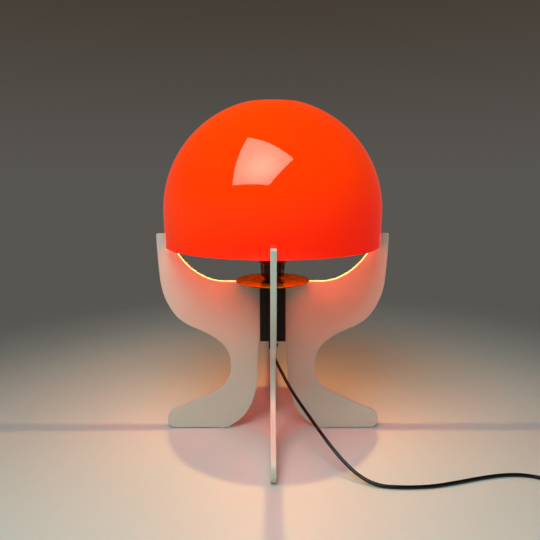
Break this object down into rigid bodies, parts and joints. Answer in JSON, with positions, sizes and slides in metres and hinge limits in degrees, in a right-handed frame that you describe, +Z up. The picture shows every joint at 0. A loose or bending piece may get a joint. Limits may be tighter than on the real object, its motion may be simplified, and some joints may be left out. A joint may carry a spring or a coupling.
{
  "type": "table lamp",
  "caption": "Table lamp with a glossy orange dome shade resting in notches of upright white fins set crosswise round a black square column, with a screw-base bulb, cord, switch and plug.",
  "frame": {"origin": "on the floor on the column's axis, below the pads under the feet", "axes": "+Z up along the column, -Y towards the front fin, +X towards the right fin, the side the cord runs to"},
  "size_m": [0.6948, 0.364, 0.5164],
  "materials": {
    "fin_plastic": "satin",
    "pad_clear": "clear",
    "brass": "plain",
    "zinc_steel": "zinc plated",
    "black_metal": "satin black",
    "satin_disc": "satin",
    "black_plastic": "gloss",
    "grip_screw_metal": "blackened",
    "shade_orange": "gloss",
    "ceramic_insert": "glazed",
    "plated_shell": "nickel plated",
    "cord_black": "gloss",
    "core_sleeve": "gloss",
    "bulb_frosted": "frosted",
    "insulator_glass": "dark",
    "stem_glass": "clear",
    "filament": "glowing",
    "moulded_black": "moulded",
    "rocker_black": "gloss",
    "tie_black": "matt",
    "sleeve_black": "matt"
  },
  "bodies": {
    "stand": {"fin_right": "fin_plastic", "fin_rear": "fin_plastic", "fin_left": "fin_plastic", "fin_front": "fin_plastic", "foot_pads": "pad_clear", "fin_inserts": "brass", "switch_contacts": "brass", "centre_contact": "brass", "fin_screws": "zinc_steel", "threaded_tube": "zinc_steel", "lock_washer": "zinc_steel", "lock_nut": "zinc_steel", "terminal_screws": "zinc_steel", "switch_screws": "zinc_steel", "column_tube": "black_metal", "column_base_plate": "black_metal", "disc": "satin_disc", "cord_grip": "black_plastic", "holder_cap": "black_plastic", "holder_ring": "black_plastic", "holder_shell": "black_plastic", "grip_screw": "grip_screw_metal", "holder_insert": "ceramic_insert", "screw_shell": "plated_shell", "plug_pins": "plated_shell", "cord_lead": "cord_black", "cord_coil": "cord_black", "inner_cord": "cord_black", "core_wires": "core_sleeve", "switch_base": "moulded_black", "switch_cover": "moulded_black", "plug_body": "moulded_black", "coil_tie": "tie_black", "pin_sleeves": "sleeve_black"},
    "shade": {"dome_shade": "shade_orange"},
    "bulb_carrier": {"bulb_tip": "plated_shell"},
    "bulb": {"bulb_glass": "bulb_frosted", "bulb_cap": "plated_shell", "bulb_insulator": "insulator_glass", "bulb_stem": "stem_glass", "bulb_filament": "filament"},
    "rocker": {"switch_rocker": "rocker_black"}
  },
  "joints": [
    {"name": "shade_lift", "type": "slide", "parent": "stand", "child": "shade", "axis": [0, 0, 1], "range_m": [0, 0.12]},
    {"name": "bulb_lift", "type": "slide", "parent": "stand", "child": "bulb_carrier", "axis": [0, 0, 1], "range_m": [0, 0.0128]},
    {"name": "bulb_turn", "type": "hinge", "parent": "bulb_carrier", "child": "bulb", "pos_m": [0, 0, 0.2793], "axis": [0, 0, 1], "range_deg": [0, 1260]},
    {"name": "rocker_tip", "type": "hinge", "parent": "stand", "child": "rocker", "pos_m": [0.442, -0.171, 0.012], "axis": [0, -1, 0], "range_deg": [0, 16]}
  ],
  "couplings": [
    {"joint": "bulb_lift", "follows": "bulb_turn", "m_per_rad": 0.00057774}
  ]
}
